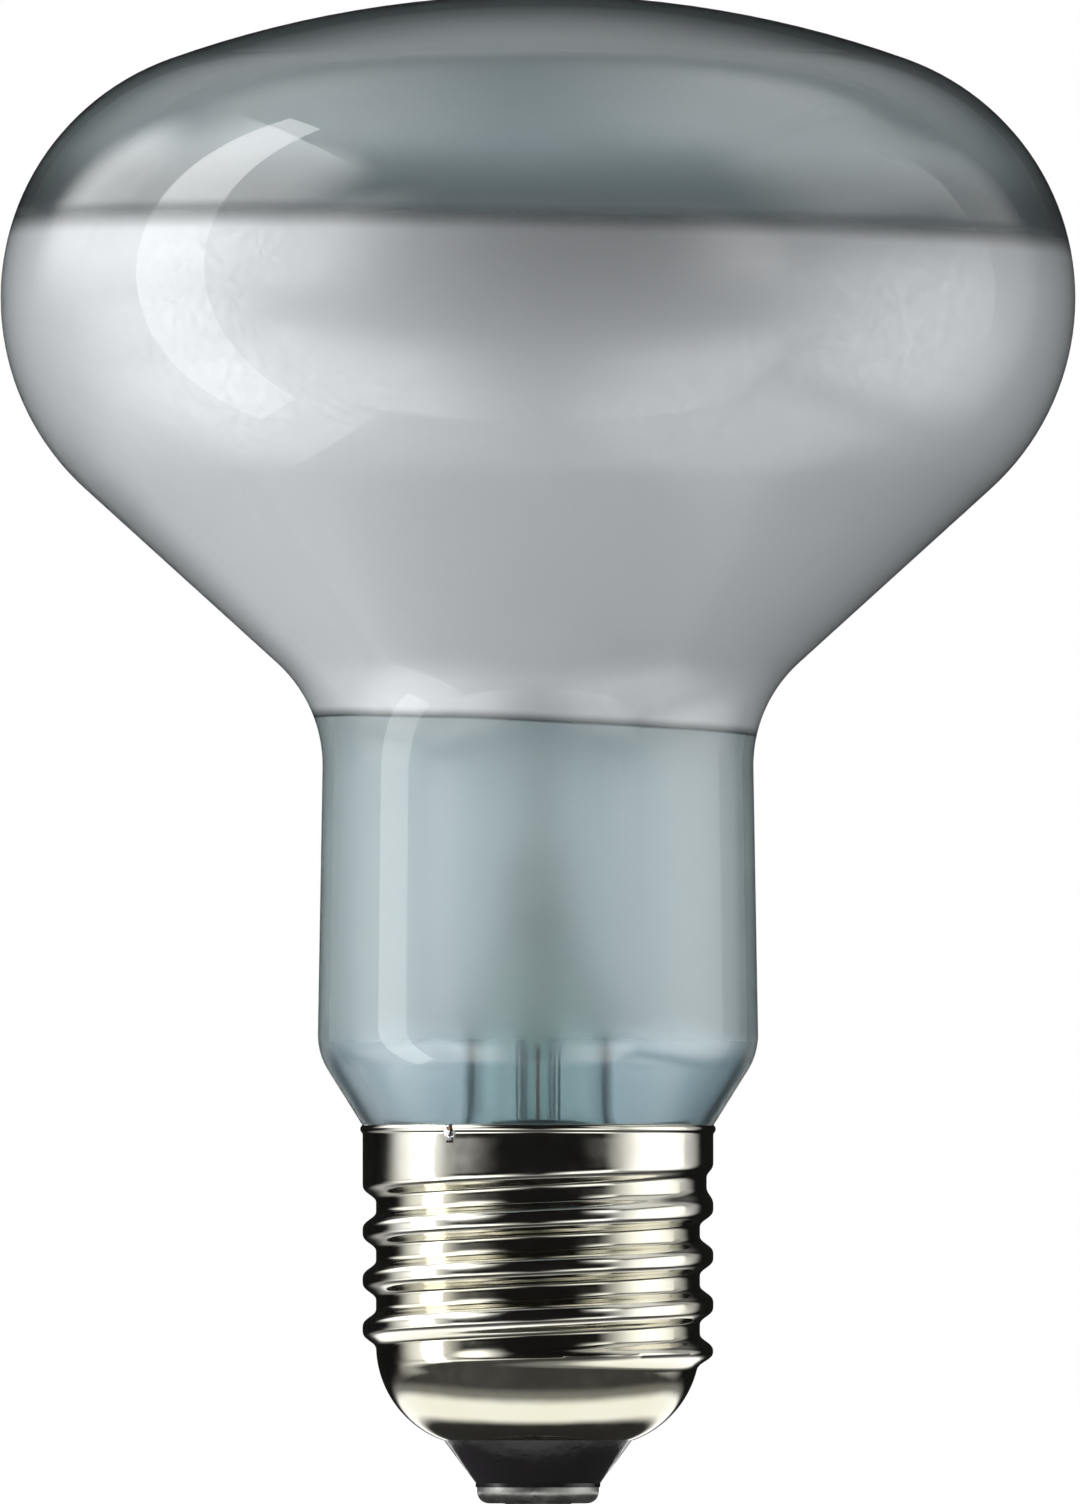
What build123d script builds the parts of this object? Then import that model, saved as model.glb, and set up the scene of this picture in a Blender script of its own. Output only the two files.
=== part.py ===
# Reflector lamp with a screw cap: blown bulb, mirror film, glass mount, leads, filament and cap.
# The lamp axis is +Z, with the origin at the tip of the centre contact and the face on top.
import os
from math import atan, ceil, cos, degrees, floor, hypot, pi, radians, sin, tan

from build123d import *

# Driving dimensions, in millimetres and degrees.

# Blown bulb
bulb_diameter = 80.0
overall_length = 112.8  # tip of the centre contact to the crown of the face
face_height = 22.5  # widest ring to the crown
shoulder_radius = 18.8
belly_radius = 19.2
reflector_angle = 47.8  # slope of the reflector cone from the lamp axis
throat_radius = 10.3
neck_top_diameter = 31.9
neck_foot_diameter = 32.8
neck_foot_radius = 5.0
neck_seal_angle = 32.0  # slope of the taper that enters the cap
neck_seal_diameter = 21.6  # sealed end of the neck, inside the cap
glass_wall = 0.8

# Mirror film on the inside of the bulb
film_thickness = 0.05
film_top_height = 5.6  # upper edge above the widest ring
film_top_tilt = 1.1
film_foot_drop = 1.6  # lower edge under the corner between neck and cone
film_foot_tilt = 2.7

# Centre contact
solder_height = 0.6
solder_diameter = 5.0
solder_flat_diameter = 2.6
plate_thickness = 1.2
plate_diameter = 10.2
plate_edge_radius = 0.9
plate_hole_diameter = 1.8
eyelet_height = 2.2
eyelet_wall = 0.4

# Glass insulator
insulator_foot_height = 0.7
insulator_cone_height = 2.8
insulator_foot_diameter = 10.4
insulator_floor = 3.6  # glass left inside the shell, above its lip

# Screw shell
shell_wall = 0.3
lip_diameter = 14.2
shell_bottom_angle = 35.0  # slope of the shell's bottom from the horizontal
shell_bottom_radius = 3.2
thread_root_diameter = 24.1
thread_crest_diameter = 26.1
thread_pitch = 3.629
thread_turns = 4.0
thread_lead_in = 0.5  # turns in which the ridge rises out of the shell
thread_run_out = 1.0  # turns in which the groove fades into the skirt
first_crest_rise = 1.32
skirt_length = 1.5
flare_height = 1.1
rim_diameter = 27.0
notch_width = 0.6
notch_depth = 1.7
side_solder_diameter = 1.6

# Glass mount
stem_diameter = 11.2
stem_wall = 0.8
flare_radius = 4.0
press_drop = 2.1  # top of the press under the middle between the cap's rim and the filament
stem_taper_height = 8.0
press_height = 4.5
press_thickness = 4.0
press_width = 9.6
press_slot_thickness = 1.2
exhaust_diameter = 3.4
exhaust_wall = 0.7
exhaust_hole_diameter = 1.2
exhaust_tip_drop = 7.5  # pinched tip below the sealed end of the neck
arbor_diameter = 2.4
button_diameter = 4.4

# Wires
inner_lead_diameter = 0.6
seal_wire_diameter = 0.4
outer_lead_diameter = 0.3
fuse_diameter = 0.2
fuse_length = 6.0
support_diameter = 0.2
lead_spacing = 6.0  # between the two leads in the press
seal_wire_tail = 3.0  # below the press
lead_bend_radius = 2.0
filament_diameter = 0.7
filament_ring_radius = 8.0
filament_drop = 16.0  # filament below the widest ring
support_angles = (-45, 0, 45)
support_rise = 8.5  # filament above the middle of the button
side_lead_angle = -120.0

clearance = 0.05  # between pieces that are cast, cemented or fused around each other
thread_sections = 24  # sections in each half turn of the shell
thread_points = 12  # points of a section in each pitch


# Radii and levels worked out from the driving dimensions.

bulb_radius = bulb_diameter / 2
neck_top_radius = neck_top_diameter / 2
neck_foot_corner_radius = neck_foot_diameter / 2
neck_seal_radius = neck_seal_diameter / 2
crest_radius = thread_crest_diameter / 2
root_radius = thread_root_diameter / 2
thread_depth = crest_radius - root_radius
lip_radius = lip_diameter / 2
rim_radius = rim_diameter / 2
lead_offset = lead_spacing / 2
stem_radius = stem_diameter / 2
exhaust_radius = exhaust_diameter / 2

plate_bottom = solder_height
plate_top = plate_bottom + plate_thickness
insulator_shoulder = plate_top + insulator_foot_height
lip_level = insulator_shoulder + insulator_cone_height
shell_corner_level = lip_level + (root_radius - lip_radius) * tan(radians(shell_bottom_angle))
shell_bottom_turn = 90 - shell_bottom_angle
root_foot = shell_corner_level + shell_bottom_radius * tan(radians(shell_bottom_turn / 2))
first_crest = root_foot + first_crest_rise
thread_top = first_crest + thread_turns * thread_pitch
skirt_top = thread_top + skirt_length
rim_level = skirt_top + flare_height

# The bulb's outline has straight runs between sharp corners, and each corner is rounded by an arc.
neck_seat_radius = rim_radius - shell_wall - clearance
seal_slope = tan(radians(neck_seal_angle))
neck_foot_level = rim_level + (neck_foot_corner_radius - neck_seat_radius) / seal_slope
neck_end_level = neck_foot_level - (neck_foot_corner_radius - neck_seal_radius) / seal_slope
equator = overall_length - face_height
belly_tangent = belly_radius * tan(radians(reflector_angle / 2))
belly_corner_level = equator - belly_tangent
throat_level = belly_corner_level - (bulb_radius - neck_top_radius) / tan(radians(reflector_angle))
neck_tilt = degrees(atan((neck_foot_corner_radius - neck_top_radius) / (throat_level - neck_foot_level)))
foot_turn = neck_seal_angle + neck_tilt
throat_turn = reflector_angle + neck_tilt
foot_tangent = neck_foot_radius * tan(radians(foot_turn / 2))
throat_tangent = throat_radius * tan(radians(throat_turn / 2))
seal_length = (neck_foot_level - neck_end_level) / cos(radians(neck_seal_angle)) - foot_tangent
neck_length = (
    hypot(neck_foot_corner_radius - neck_top_radius, throat_level - neck_foot_level)
    - foot_tangent
    - throat_tangent
)
cone_length = (
    (belly_corner_level - throat_level) / cos(radians(reflector_angle)) - throat_tangent - belly_tangent
)
crown_rise = (face_height - shoulder_radius) / (bulb_radius - shoulder_radius)
shoulder_turn = 90 - 2 * degrees(atan(crown_rise))
face_radius = shoulder_radius + (bulb_radius - shoulder_radius) / cos(radians(shoulder_turn))

filament_level = equator - filament_drop
button_level = filament_level - support_rise
press_top = (rim_level + filament_level) / 2 - press_drop
press_foot = press_top - press_height
stem_tube_top = press_foot - stem_taper_height
neck_end_inner_level = neck_end_level + glass_wall * sin(radians(neck_seal_angle))
flare_foot = neck_end_inner_level + clearance
exhaust_tip = neck_end_level - exhaust_tip_drop
seal_wire_foot = press_foot - seal_wire_tail
fuse_foot = seal_wire_foot - fuse_length


def radial_plane(angle):
    """Upright plane through the lamp axis: its x runs outwards at the angle, its y runs along +Z."""
    turn = radians(angle)
    return Plane(origin=(0, 0, 0), x_dir=(cos(turn), sin(turn), 0), z_dir=(sin(turn), -cos(turn), 0))


def ring_point(angle, radius, level):
    """Point at an angle round the lamp axis."""
    return (radius * cos(radians(angle)), radius * sin(radians(angle)), level)


def bulb_outline(depth):
    """Draws the bulb's outline at a depth under its outer surface, from the sealed end to the crown."""
    seal_turn = radians(neck_seal_angle)
    start = (neck_seal_radius - depth * cos(seal_turn), neck_end_level + depth * sin(seal_turn))
    seal = PolarLine(start, seal_length, 90 - neck_seal_angle)
    foot = JernArc(seal @ 1, seal % 1, neck_foot_radius - depth, foot_turn)
    neck = PolarLine(foot @ 1, neck_length, direction=foot % 1)
    throat = JernArc(neck @ 1, neck % 1, throat_radius + depth, -throat_turn)
    cone = PolarLine(throat @ 1, cone_length, direction=throat % 1)
    belly = JernArc(cone @ 1, cone % 1, belly_radius - depth, reflector_angle)
    shoulder = JernArc(belly @ 1, belly % 1, shoulder_radius - depth, shoulder_turn)
    face = JernArc(shoulder @ 1, shoulder % 1, face_radius - depth, 90 - shoulder_turn)
    return seal @ 0, face @ 1


def bulb_layer(outer_depth, inner_depth):
    """Section of the layer of the bulb between two depths."""
    with BuildSketch(Plane.XZ) as layer:
        with BuildLine():
            outer_end, outer_crown = bulb_outline(outer_depth)
            inner_end, inner_crown = bulb_outline(inner_depth)
            Line(outer_end, inner_end)
            Line(outer_crown, inner_crown)
        make_face()
    return layer.sketch


def ease(share):
    """Smooth step from 0 to 1."""
    share = min(max(share, 0), 1)
    return share * share * (3 - 2 * share)


def thread_radius(angle, level):
    """Outer radius of the rolled thread: a ridge that leads in below, a groove that runs out above."""
    turn = angle / 360
    height = (level - first_crest) / thread_pitch
    wave = (1 + cos(2 * pi * (height - turn))) / 2
    if height < thread_turns / 2:
        ridge_turn = turn + floor(height - turn + 0.5)
        fade = ease(1 + ridge_turn / thread_lead_in) * ease((level - root_foot) / first_crest_rise)
        return root_radius + thread_depth * wave * fade
    groove_turn = turn + floor(height - turn) + 0.5
    fade = ease((thread_turns - groove_turn) / thread_run_out)
    fade *= ease((thread_top - level) / first_crest_rise)
    return crest_radius - thread_depth * (1 - wave) * fade


def even_shares(count):
    """Even spline parameters, the same for every section of the shell."""
    return [step / (count - 1) for step in range(count)]


def shell_bottom(inset):
    """Draws the shell's rounded bottom at an inset, from the foot of the thread to the lip."""
    drop = radians(shell_bottom_angle)
    lip = (lip_radius - inset * sin(drop), lip_level + inset * cos(drop))
    bend = JernArc((root_radius - inset, root_foot), (0, -1), shell_bottom_radius - inset, -shell_bottom_turn)
    Line(bend @ 1, lip)
    return bend @ 0, lip


def shell_side(angle, inset):
    """Draws one side of the shell's sheet at an angle, from the rim to the lip."""
    count = ceil((thread_top - root_foot) / thread_pitch * thread_points)
    levels = [thread_top + (root_foot - thread_top) * step / count for step in range(count + 1)]
    points = [Vector(thread_radius(angle, level) - inset, level) for level in levels]
    flare = Line((rim_radius - inset, rim_level), (crest_radius - inset, skirt_top))
    Line(flare @ 1, points[0])
    add(Edge.make_spline(points, parameters=even_shares(len(points))))
    return flare @ 0, shell_bottom(inset)[1]


def neck_radius(level):
    """Outer radius of the neck's taper."""
    return neck_seat_radius - (rim_level - level) * seal_slope


# Bulb

with BuildPart() as bulb_envelope:
    revolve(bulb_layer(0, glass_wall), axis=Axis.Z)

film_depth = glass_wall + clearance
film_top_plane = Plane((0, 0, equator + film_top_height), z_dir=(sin(radians(film_top_tilt)), 0, 1))
film_foot_plane = Plane((0, 0, throat_level - film_foot_drop), z_dir=(sin(radians(film_foot_tilt)), 0, 1))

with BuildPart() as reflector_coating:
    revolve(bulb_layer(film_depth, film_depth + film_thickness), axis=Axis.Z)
    split(bisect_by=film_top_plane, keep=Keep.BOTTOM)
    split(bisect_by=film_foot_plane, keep=Keep.TOP)

# Glass mount: trumpet-shaped tube, pressed flat at its top round the wires

flare_bend = flare_foot + stem_wall + flare_radius
bore_radius = stem_radius - stem_wall

with BuildPart() as bulb_inside:
    with BuildSketch(Plane.XZ):
        with BuildLine():
            inside_end, inside_crown = bulb_outline(glass_wall)
            Polyline(inside_crown, (0, inside_end.Y), inside_end)
        make_face()
    revolve(axis=Axis.Z)

with BuildPart() as stem_flare:
    with BuildSketch(Plane.XZ):
        with BuildLine():
            tube = Line((stem_radius, stem_tube_top), (stem_radius, flare_bend))
            bell = JernArc(tube @ 1, (0, -1), flare_radius, 90)
            brim = Line(bell @ 1, (neck_foot_corner_radius, flare_foot + stem_wall))
            edge = Line(brim @ 1, (neck_foot_corner_radius, flare_foot))
            floor_line = Line(edge @ 1, (stem_radius + flare_radius, flare_foot))
            throat_arc = JernArc(floor_line @ 1, (-1, 0), flare_radius + stem_wall, -90)
            Polyline(throat_arc @ 1, (bore_radius, stem_tube_top), tube @ 0)
        make_face()
    revolve(axis=Axis.Z)
    add(bulb_inside.part, mode=Mode.INTERSECT)
    with BuildSketch(Plane.XY.offset(stem_tube_top)):
        Circle(stem_radius)
    with BuildSketch(Plane.XY.offset(press_foot)):
        Ellipse(press_thickness / 2, press_width / 2)
    loft()
    with BuildSketch(Plane.XY.offset(press_foot)):
        Ellipse(press_thickness / 2, press_width / 2)
    extrude(amount=press_height)
    with BuildSketch(Plane.XY.offset(stem_tube_top)):
        Circle(bore_radius)
    with BuildSketch(Plane.XY.offset(press_foot)):
        Ellipse(press_slot_thickness / 2, press_width / 2 - stem_wall)
    loft(mode=Mode.SUBTRACT)
    with BuildSketch(Plane.XY.offset(stem_tube_top)):
        Circle(exhaust_radius)
    extrude(amount=stem_taper_height, mode=Mode.SUBTRACT)
    with BuildSketch(Plane.XY.offset(press_foot)):
        with Locations((0, lead_offset), (0, -lead_offset)):
            Circle(seal_wire_diameter / 2)
    extrude(amount=press_height, mode=Mode.SUBTRACT)
    with BuildSketch(Plane.YZ):
        with Locations((0, press_foot - exhaust_hole_diameter)):
            Circle(exhaust_hole_diameter / 2)
    extrude(amount=stem_radius, mode=Mode.SUBTRACT)

exhaust_bore = exhaust_radius - exhaust_wall

with BuildPart() as exhaust_tube:
    with BuildSketch(Plane.XZ):
        with BuildLine():
            side = Line((exhaust_radius, press_foot), (exhaust_radius, exhaust_tip + exhaust_diameter))
            Line(side @ 1, (exhaust_wall, exhaust_tip + exhaust_wall))
            CenterArc((0, exhaust_tip + exhaust_wall), exhaust_wall, 0, -90)
            Line((0, exhaust_tip), (0, exhaust_tip + 2 * exhaust_wall))
            bore = Line((0, exhaust_tip + 2 * exhaust_wall), (exhaust_bore, exhaust_tip + exhaust_diameter))
            Polyline(bore @ 1, (exhaust_bore, press_foot), side @ 0)
        make_face()
    revolve(axis=Axis.Z)
    with BuildSketch(Plane.YZ):
        with Locations((0, press_foot - exhaust_hole_diameter)):
            Circle(exhaust_hole_diameter / 2)
    extrude(amount=stem_radius, mode=Mode.SUBTRACT)

arbor_radius = arbor_diameter / 2
button_radius = button_diameter / 2
button_foot = button_level - (button_radius**2 - arbor_radius**2) ** 0.5
support_depth = button_radius / 2

with BuildPart() as arbor_rod:
    with BuildSketch(Plane.XZ):
        with BuildLine():
            Polyline((0, press_top), (arbor_radius, press_top), (arbor_radius, button_foot))
            button = ThreePointArc(
                (arbor_radius, button_foot), (button_radius, button_level), (0, button_level + button_radius)
            )
            Line(button @ 1, (0, press_top))
        make_face()
    revolve(axis=Axis.Z)
    for angle in support_angles:
        with BuildSketch(Plane(ring_point(angle, support_depth, button_level), z_dir=ring_point(angle, 1, 0))):
            Circle(support_diameter / 2)
        extrude(amount=button_radius, mode=Mode.SUBTRACT)

# Filament and its supports

with BuildPart() as filament:
    with BuildLine(Plane.XY.offset(filament_level)) as coil_line:
        CenterArc((0, 0), filament_ring_radius, -90, 180)
    with BuildSketch(Plane(coil_line.line @ 0, z_dir=coil_line.line % 0)):
        Circle(filament_diameter / 2)
    sweep()

hook_reach = filament_diameter / 2 + support_diameter + clearance
hook_inner = filament_ring_radius - hook_reach
hook_outer = filament_ring_radius + hook_reach
hook_top = filament_level + hook_reach
supports = []
for angle in support_angles:
    with BuildPart() as support_wire:
        with BuildLine() as support_line:
            FilletPolyline(
                ring_point(angle, support_depth, button_level),
                ring_point(angle, hook_inner - support_rise / 3, button_level),
                ring_point(angle, hook_inner, filament_level - support_rise / 4),
                ring_point(angle, hook_inner, hook_top),
                ring_point(angle, hook_outer, hook_top),
                ring_point(angle, hook_outer, filament_level),
                radius=support_diameter,
            )
        with BuildSketch(Plane(support_line.line @ 0, z_dir=support_line.line % 0)):
            Circle(support_diameter / 2)
        sweep()
    supports.append(support_wire)

# Leads

lead_top = filament_level - filament_diameter / 2 - clearance
lead_knee = press_top + press_height
inner_leads = []
seal_wires = []
for side_sign in (-1, 1):
    with BuildPart() as inner_lead:
        with BuildLine() as lead_line:
            FilletPolyline(
                (0, side_sign * lead_offset, press_top),
                (0, side_sign * lead_offset, lead_knee),
                (0, side_sign * filament_ring_radius, lead_top - press_height),
                (0, side_sign * filament_ring_radius, lead_top),
                radius=lead_bend_radius,
            )
        with BuildSketch(Plane(lead_line.line @ 0, z_dir=lead_line.line % 0)):
            Circle(inner_lead_diameter / 2)
        sweep()
    inner_leads.append(inner_lead)
    with BuildPart() as seal_wire:
        with BuildSketch(Plane.XY.offset(seal_wire_foot)):
            with Locations((0, side_sign * lead_offset)):
                Circle(seal_wire_diameter / 2)
        extrude(amount=press_top - seal_wire_foot)
    seal_wires.append(seal_wire)

with BuildPart() as fuse_link:
    with BuildSketch(Plane.XY.offset(fuse_foot)):
        with Locations((0, lead_offset)):
            Circle(fuse_diameter / 2)
    extrude(amount=fuse_length)

with BuildPart() as outer_lead_centre:
    with BuildLine() as centre_line:
        FilletPolyline(
            (0, lead_offset, fuse_foot),
            (0, lead_offset, exhaust_tip + exhaust_diameter / 2),
            (0, 0, exhaust_tip - exhaust_diameter),
            (0, 0, plate_bottom),
            radius=lead_bend_radius,
        )
    with BuildSketch(Plane(centre_line.line @ 0, z_dir=centre_line.line % 0)):
        Circle(outer_lead_diameter / 2)
    sweep()

lead_pass = thread_top + skirt_length / 2
lead_gap = outer_lead_diameter + clearance

with BuildPart() as outer_lead_side:
    with BuildLine() as side_line:
        FilletPolyline(
            (0, -lead_offset, seal_wire_foot),
            (0, -lead_offset, neck_end_level),
            ring_point(side_lead_angle, neck_seal_radius, neck_end_level - 3 * outer_lead_diameter),
            ring_point(side_lead_angle, neck_radius(lead_pass) + lead_gap, lead_pass),
            ring_point(side_lead_angle, rim_radius - outer_lead_diameter / 2, rim_level - flare_height / 3),
            radius=outer_lead_diameter,
        )
    with BuildSketch(Plane(side_line.line @ 0, z_dir=side_line.line % 0)):
        Circle(outer_lead_diameter / 2)
    sweep()

# Screw cap

with BuildPart() as cap_shell:
    for half in (0, 180):
        for step in range(thread_sections + 1):
            angle = half + 180 * step / thread_sections
            with BuildSketch(radial_plane(angle)):
                with BuildLine():
                    outer_rim, outer_lip = shell_side(angle, 0)
                    inner_rim, inner_lip = shell_side(angle, shell_wall)
                    Line(outer_rim, inner_rim)
                    Line(outer_lip, inner_lip)
                make_face()
        loft()
    with BuildSketch(radial_plane(side_lead_angle)):
        with Locations((rim_radius, rim_level)):
            Rectangle(2 * notch_depth, 2 * notch_depth)
    extrude(amount=notch_width / 2, both=True, mode=Mode.SUBTRACT)

eyelet_radius = plate_hole_diameter / 2 + eyelet_wall
insulator_hole = eyelet_radius + clearance

with BuildPart() as cap_insulator:
    with BuildSketch(Plane.XZ):
        with BuildLine():
            glass_top, glass_lip = shell_bottom(shell_wall + clearance)
            Polyline(
                glass_lip,
                (lip_radius - 2 * clearance, lip_level),
                (insulator_foot_diameter / 2, insulator_shoulder),
                (insulator_foot_diameter / 2, plate_top),
                (insulator_hole, plate_top),
                (insulator_hole, lip_level + insulator_floor),
                glass_top,
            )
        make_face()
    revolve(axis=Axis.Z)

plate_radius = plate_diameter / 2
plate_hole = plate_hole_diameter / 2

with BuildPart() as contact_plate:
    with BuildSketch(Plane.XZ):
        with BuildLine():
            face_line = Line((plate_hole, plate_bottom), (plate_radius - plate_edge_radius, plate_bottom))
            edge_arc = JernArc(face_line @ 1, (1, 0), plate_edge_radius, 90)
            Polyline(
                edge_arc @ 1,
                (plate_radius, plate_top),
                (eyelet_radius, plate_top),
                (eyelet_radius, plate_top + eyelet_height),
                (plate_hole, plate_top + eyelet_height),
                face_line @ 0,
            )
        make_face()
    revolve(axis=Axis.Z)

with BuildPart() as centre_solder:
    with BuildSketch(Plane.XZ):
        with BuildLine():
            flat = Line((0, 0), (solder_flat_diameter / 2, 0))
            bead = TangentArc(flat @ 1, (solder_diameter / 2, plate_bottom), tangent=(1, 0))
            Polyline(
                bead @ 1,
                (plate_hole - clearance, plate_bottom),
                (plate_hole - clearance, plate_top),
                (outer_lead_diameter / 2, plate_top),
                (outer_lead_diameter / 2, plate_bottom),
                (0, plate_bottom),
                flat @ 0,
            )
        make_face()
    revolve(axis=Axis.Z)

with BuildPart() as side_solder:
    with Locations(ring_point(side_lead_angle, rim_radius - side_solder_diameter / 3, rim_level - flare_height / 3)):
        Sphere(side_solder_diameter / 2)
    with BuildSketch(Plane.XZ):
        with BuildLine():
            Polyline(
                (0, thread_top),
                (crest_radius + clearance, thread_top),
                (crest_radius + clearance, skirt_top),
                (rim_radius + clearance, rim_level),
                (rim_radius + clearance, rim_level + side_solder_diameter),
                (0, rim_level + side_solder_diameter),
                close=True,
            )
        make_face()
    revolve(axis=Axis.Z, mode=Mode.SUBTRACT)
    add(outer_lead_side.part, mode=Mode.SUBTRACT)

cement_radius = crest_radius - shell_wall - clearance

with BuildPart() as basing_cement:
    with BuildSketch(Plane.XZ):
        with BuildLine():
            Polyline(
                (neck_radius(thread_top) + clearance, thread_top),
                (cement_radius, thread_top),
                (cement_radius, skirt_top),
                (neck_radius(skirt_top) + clearance, skirt_top),
                close=True,
            )
        make_face()
    revolve(axis=Axis.Z)
    with BuildSketch(radial_plane(side_lead_angle)):
        with Locations((cement_radius, skirt_top)):
            Rectangle(rim_radius, 3 * skirt_length)
    extrude(amount=notch_width / 2, both=True, mode=Mode.SUBTRACT)

pieces = {
    "bulb_envelope": bulb_envelope,
    "reflector_coating": reflector_coating,
    "stem_flare": stem_flare,
    "exhaust_tube": exhaust_tube,
    "arbor_rod": arbor_rod,
    "filament": filament,
    "support_wire_front": supports[0],
    "support_wire_middle": supports[1],
    "support_wire_rear": supports[2],
    "inner_lead_front": inner_leads[0],
    "inner_lead_rear": inner_leads[1],
    "seal_wire_front": seal_wires[0],
    "seal_wire_rear": seal_wires[1],
    "fuse_link": fuse_link,
    "outer_lead_centre": outer_lead_centre,
    "outer_lead_side": outer_lead_side,
    "cap_shell": cap_shell,
    "cap_insulator": cap_insulator,
    "contact_plate": contact_plate,
    "centre_solder": centre_solder,
    "side_solder": side_solder,
    "basing_cement": basing_cement,
}

os.makedirs("parts", exist_ok=True)
for name, piece in pieces.items():
    piece.part.label = name
    export_step(piece.part, f"parts/{name}.step")
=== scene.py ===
import math

import bpy
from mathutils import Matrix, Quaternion, Vector


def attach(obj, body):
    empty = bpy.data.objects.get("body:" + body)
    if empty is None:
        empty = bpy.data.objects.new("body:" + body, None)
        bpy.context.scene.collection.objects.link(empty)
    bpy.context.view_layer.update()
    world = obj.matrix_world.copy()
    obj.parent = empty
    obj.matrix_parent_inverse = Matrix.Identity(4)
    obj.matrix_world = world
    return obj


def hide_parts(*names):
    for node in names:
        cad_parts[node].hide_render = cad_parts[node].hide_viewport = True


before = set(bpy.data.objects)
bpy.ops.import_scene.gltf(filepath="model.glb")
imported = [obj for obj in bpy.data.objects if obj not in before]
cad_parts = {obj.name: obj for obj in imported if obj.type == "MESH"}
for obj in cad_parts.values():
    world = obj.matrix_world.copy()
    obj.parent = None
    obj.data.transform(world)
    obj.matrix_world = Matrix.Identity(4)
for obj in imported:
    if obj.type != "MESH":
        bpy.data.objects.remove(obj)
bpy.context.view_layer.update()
bpy.ops.object.select_all(action="DESELECT")
mm = 0.001  # sizes below are in millimetres and degrees
print("frame loaded:", len(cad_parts), "nodes")


# drawing a section with the pen, then turning it round the lamp axis

def penDown(name, x, z, heading=90.0):  # a plane merged to one loose vertex
    bpy.ops.object.select_all(action="DESELECT")
    bpy.ops.mesh.primitive_plane_add(size=mm)
    piece = bpy.context.object
    piece.name = name
    piece.data.name = name
    bpy.ops.object.mode_set(mode="EDIT")
    bpy.ops.mesh.select_all(action="SELECT")
    bpy.ops.mesh.merge(type="CENTER")
    bpy.ops.transform.translate(value=(x * mm, 0, z * mm))
    return {"piece": piece, "x": x, "z": z, "heading": math.radians(heading)}


def penTo(pen, x, z, runs=1):
    stepX, stepZ = (x - pen["x"]) / runs, (z - pen["z"]) / runs
    for run in range(runs):
        bpy.ops.mesh.extrude_region_move(TRANSFORM_OT_translate={"value": (stepX * mm, 0, stepZ * mm)})
    pen.update(x=x, z=z, heading=math.atan2(stepZ, stepX))


def penLine(pen, length, runs=1):
    heading = pen["heading"]
    penTo(pen, pen["x"] + length * math.cos(heading), pen["z"] + length * math.sin(heading), runs)


def penArc(pen, radius, turn, steps):  # a left turn is positive
    side = 1 if turn > 0 else -1
    heading = pen["heading"]
    centreX = pen["x"] - side * radius * math.sin(heading)
    centreZ = pen["z"] + side * radius * math.cos(heading)
    bpy.ops.mesh.spin(
        steps=steps, angle=math.radians(turn), center=(centreX * mm, 0, centreZ * mm), axis=(0, 1, 0)
    )
    heading += math.radians(turn)
    pen.update(
        x=centreX + side * radius * math.sin(heading),
        z=centreZ - side * radius * math.cos(heading),
        heading=heading,
    )


def turnSection(pen, steps):
    bpy.ops.mesh.select_all(action="SELECT")
    bpy.ops.mesh.spin(steps=steps, angle=2 * math.pi, center=(0, 0, 0), axis=(0, 0, 1))
    bpy.ops.mesh.select_all(action="SELECT")
    bpy.ops.mesh.remove_doubles(threshold=0.002 * mm)
    bpy.ops.mesh.normals_make_consistent(inside=False)
    bpy.ops.object.mode_set(mode="OBJECT")
    return pen["piece"]


def applyModifier(piece, modifier):
    bpy.ops.object.select_all(action="DESELECT")
    bpy.context.view_layer.objects.active = piece
    piece.select_set(True)
    bpy.ops.object.modifier_apply(modifier=modifier.name)


def giveWall(piece, thickness, innerSlot=0):  # the sheet grows inwards from the drawn outside
    wall = piece.modifiers.new("wall", "SOLIDIFY")
    wall.thickness = thickness * mm
    wall.offset = -1
    wall.use_even_offset = True
    wall.material_offset = innerSlot
    wall.material_offset_rim = innerSlot
    applyModifier(piece, wall)


def smoothPiece(piece, angle):
    bpy.ops.object.select_all(action="DESELECT")
    bpy.context.view_layer.objects.active = piece
    piece.select_set(True)
    bpy.ops.object.shade_smooth_by_angle(angle=math.radians(angle))


def setPiece(piece, slot, *nodes):
    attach(piece, "root")
    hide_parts(*nodes)


def placeRound(radius, angle, level):  # a point round the lamp axis
    around = math.radians(angle)
    return (radius * math.cos(around) * mm, radius * math.sin(around) * mm, level * mm)


def ease(share):
    share = min(max(share, 0), 1)
    return share * share * (3 - 2 * share)


# nodes of the finishes

def newFinish(name):
    finish = bpy.data.materials.new(name)
    finish.use_nodes = True
    return finish, finish.node_tree


def addNode(tree, kind, values=None, **settings):
    node = tree.nodes.new("ShaderNode" + kind)
    for key, value in settings.items():
        setattr(node, key, value)
    for key, value in (values or {}).items():
        node.inputs[key].default_value = value
    return node


def addGroup(tree, group, values=None):
    node = tree.nodes.new("ShaderNodeGroup")
    node.node_tree = group
    for key, value in (values or {}).items():
        node.inputs[key].default_value = value
    return node


def join(tree, source, target):
    tree.links.new(source, target)


def newGroup(name, inputs, outputs):
    group = bpy.data.node_groups.new(name, "ShaderNodeTree")
    for label, kind, value in inputs:
        socket = group.interface.new_socket(label, in_out="INPUT", socket_type="NodeSocket" + kind)
        socket.default_value = value
    for label, kind in outputs:
        group.interface.new_socket(label, in_out="OUTPUT", socket_type="NodeSocket" + kind)
    return group, group.nodes.new("NodeGroupInput"), group.nodes.new("NodeGroupOutput")


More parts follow.
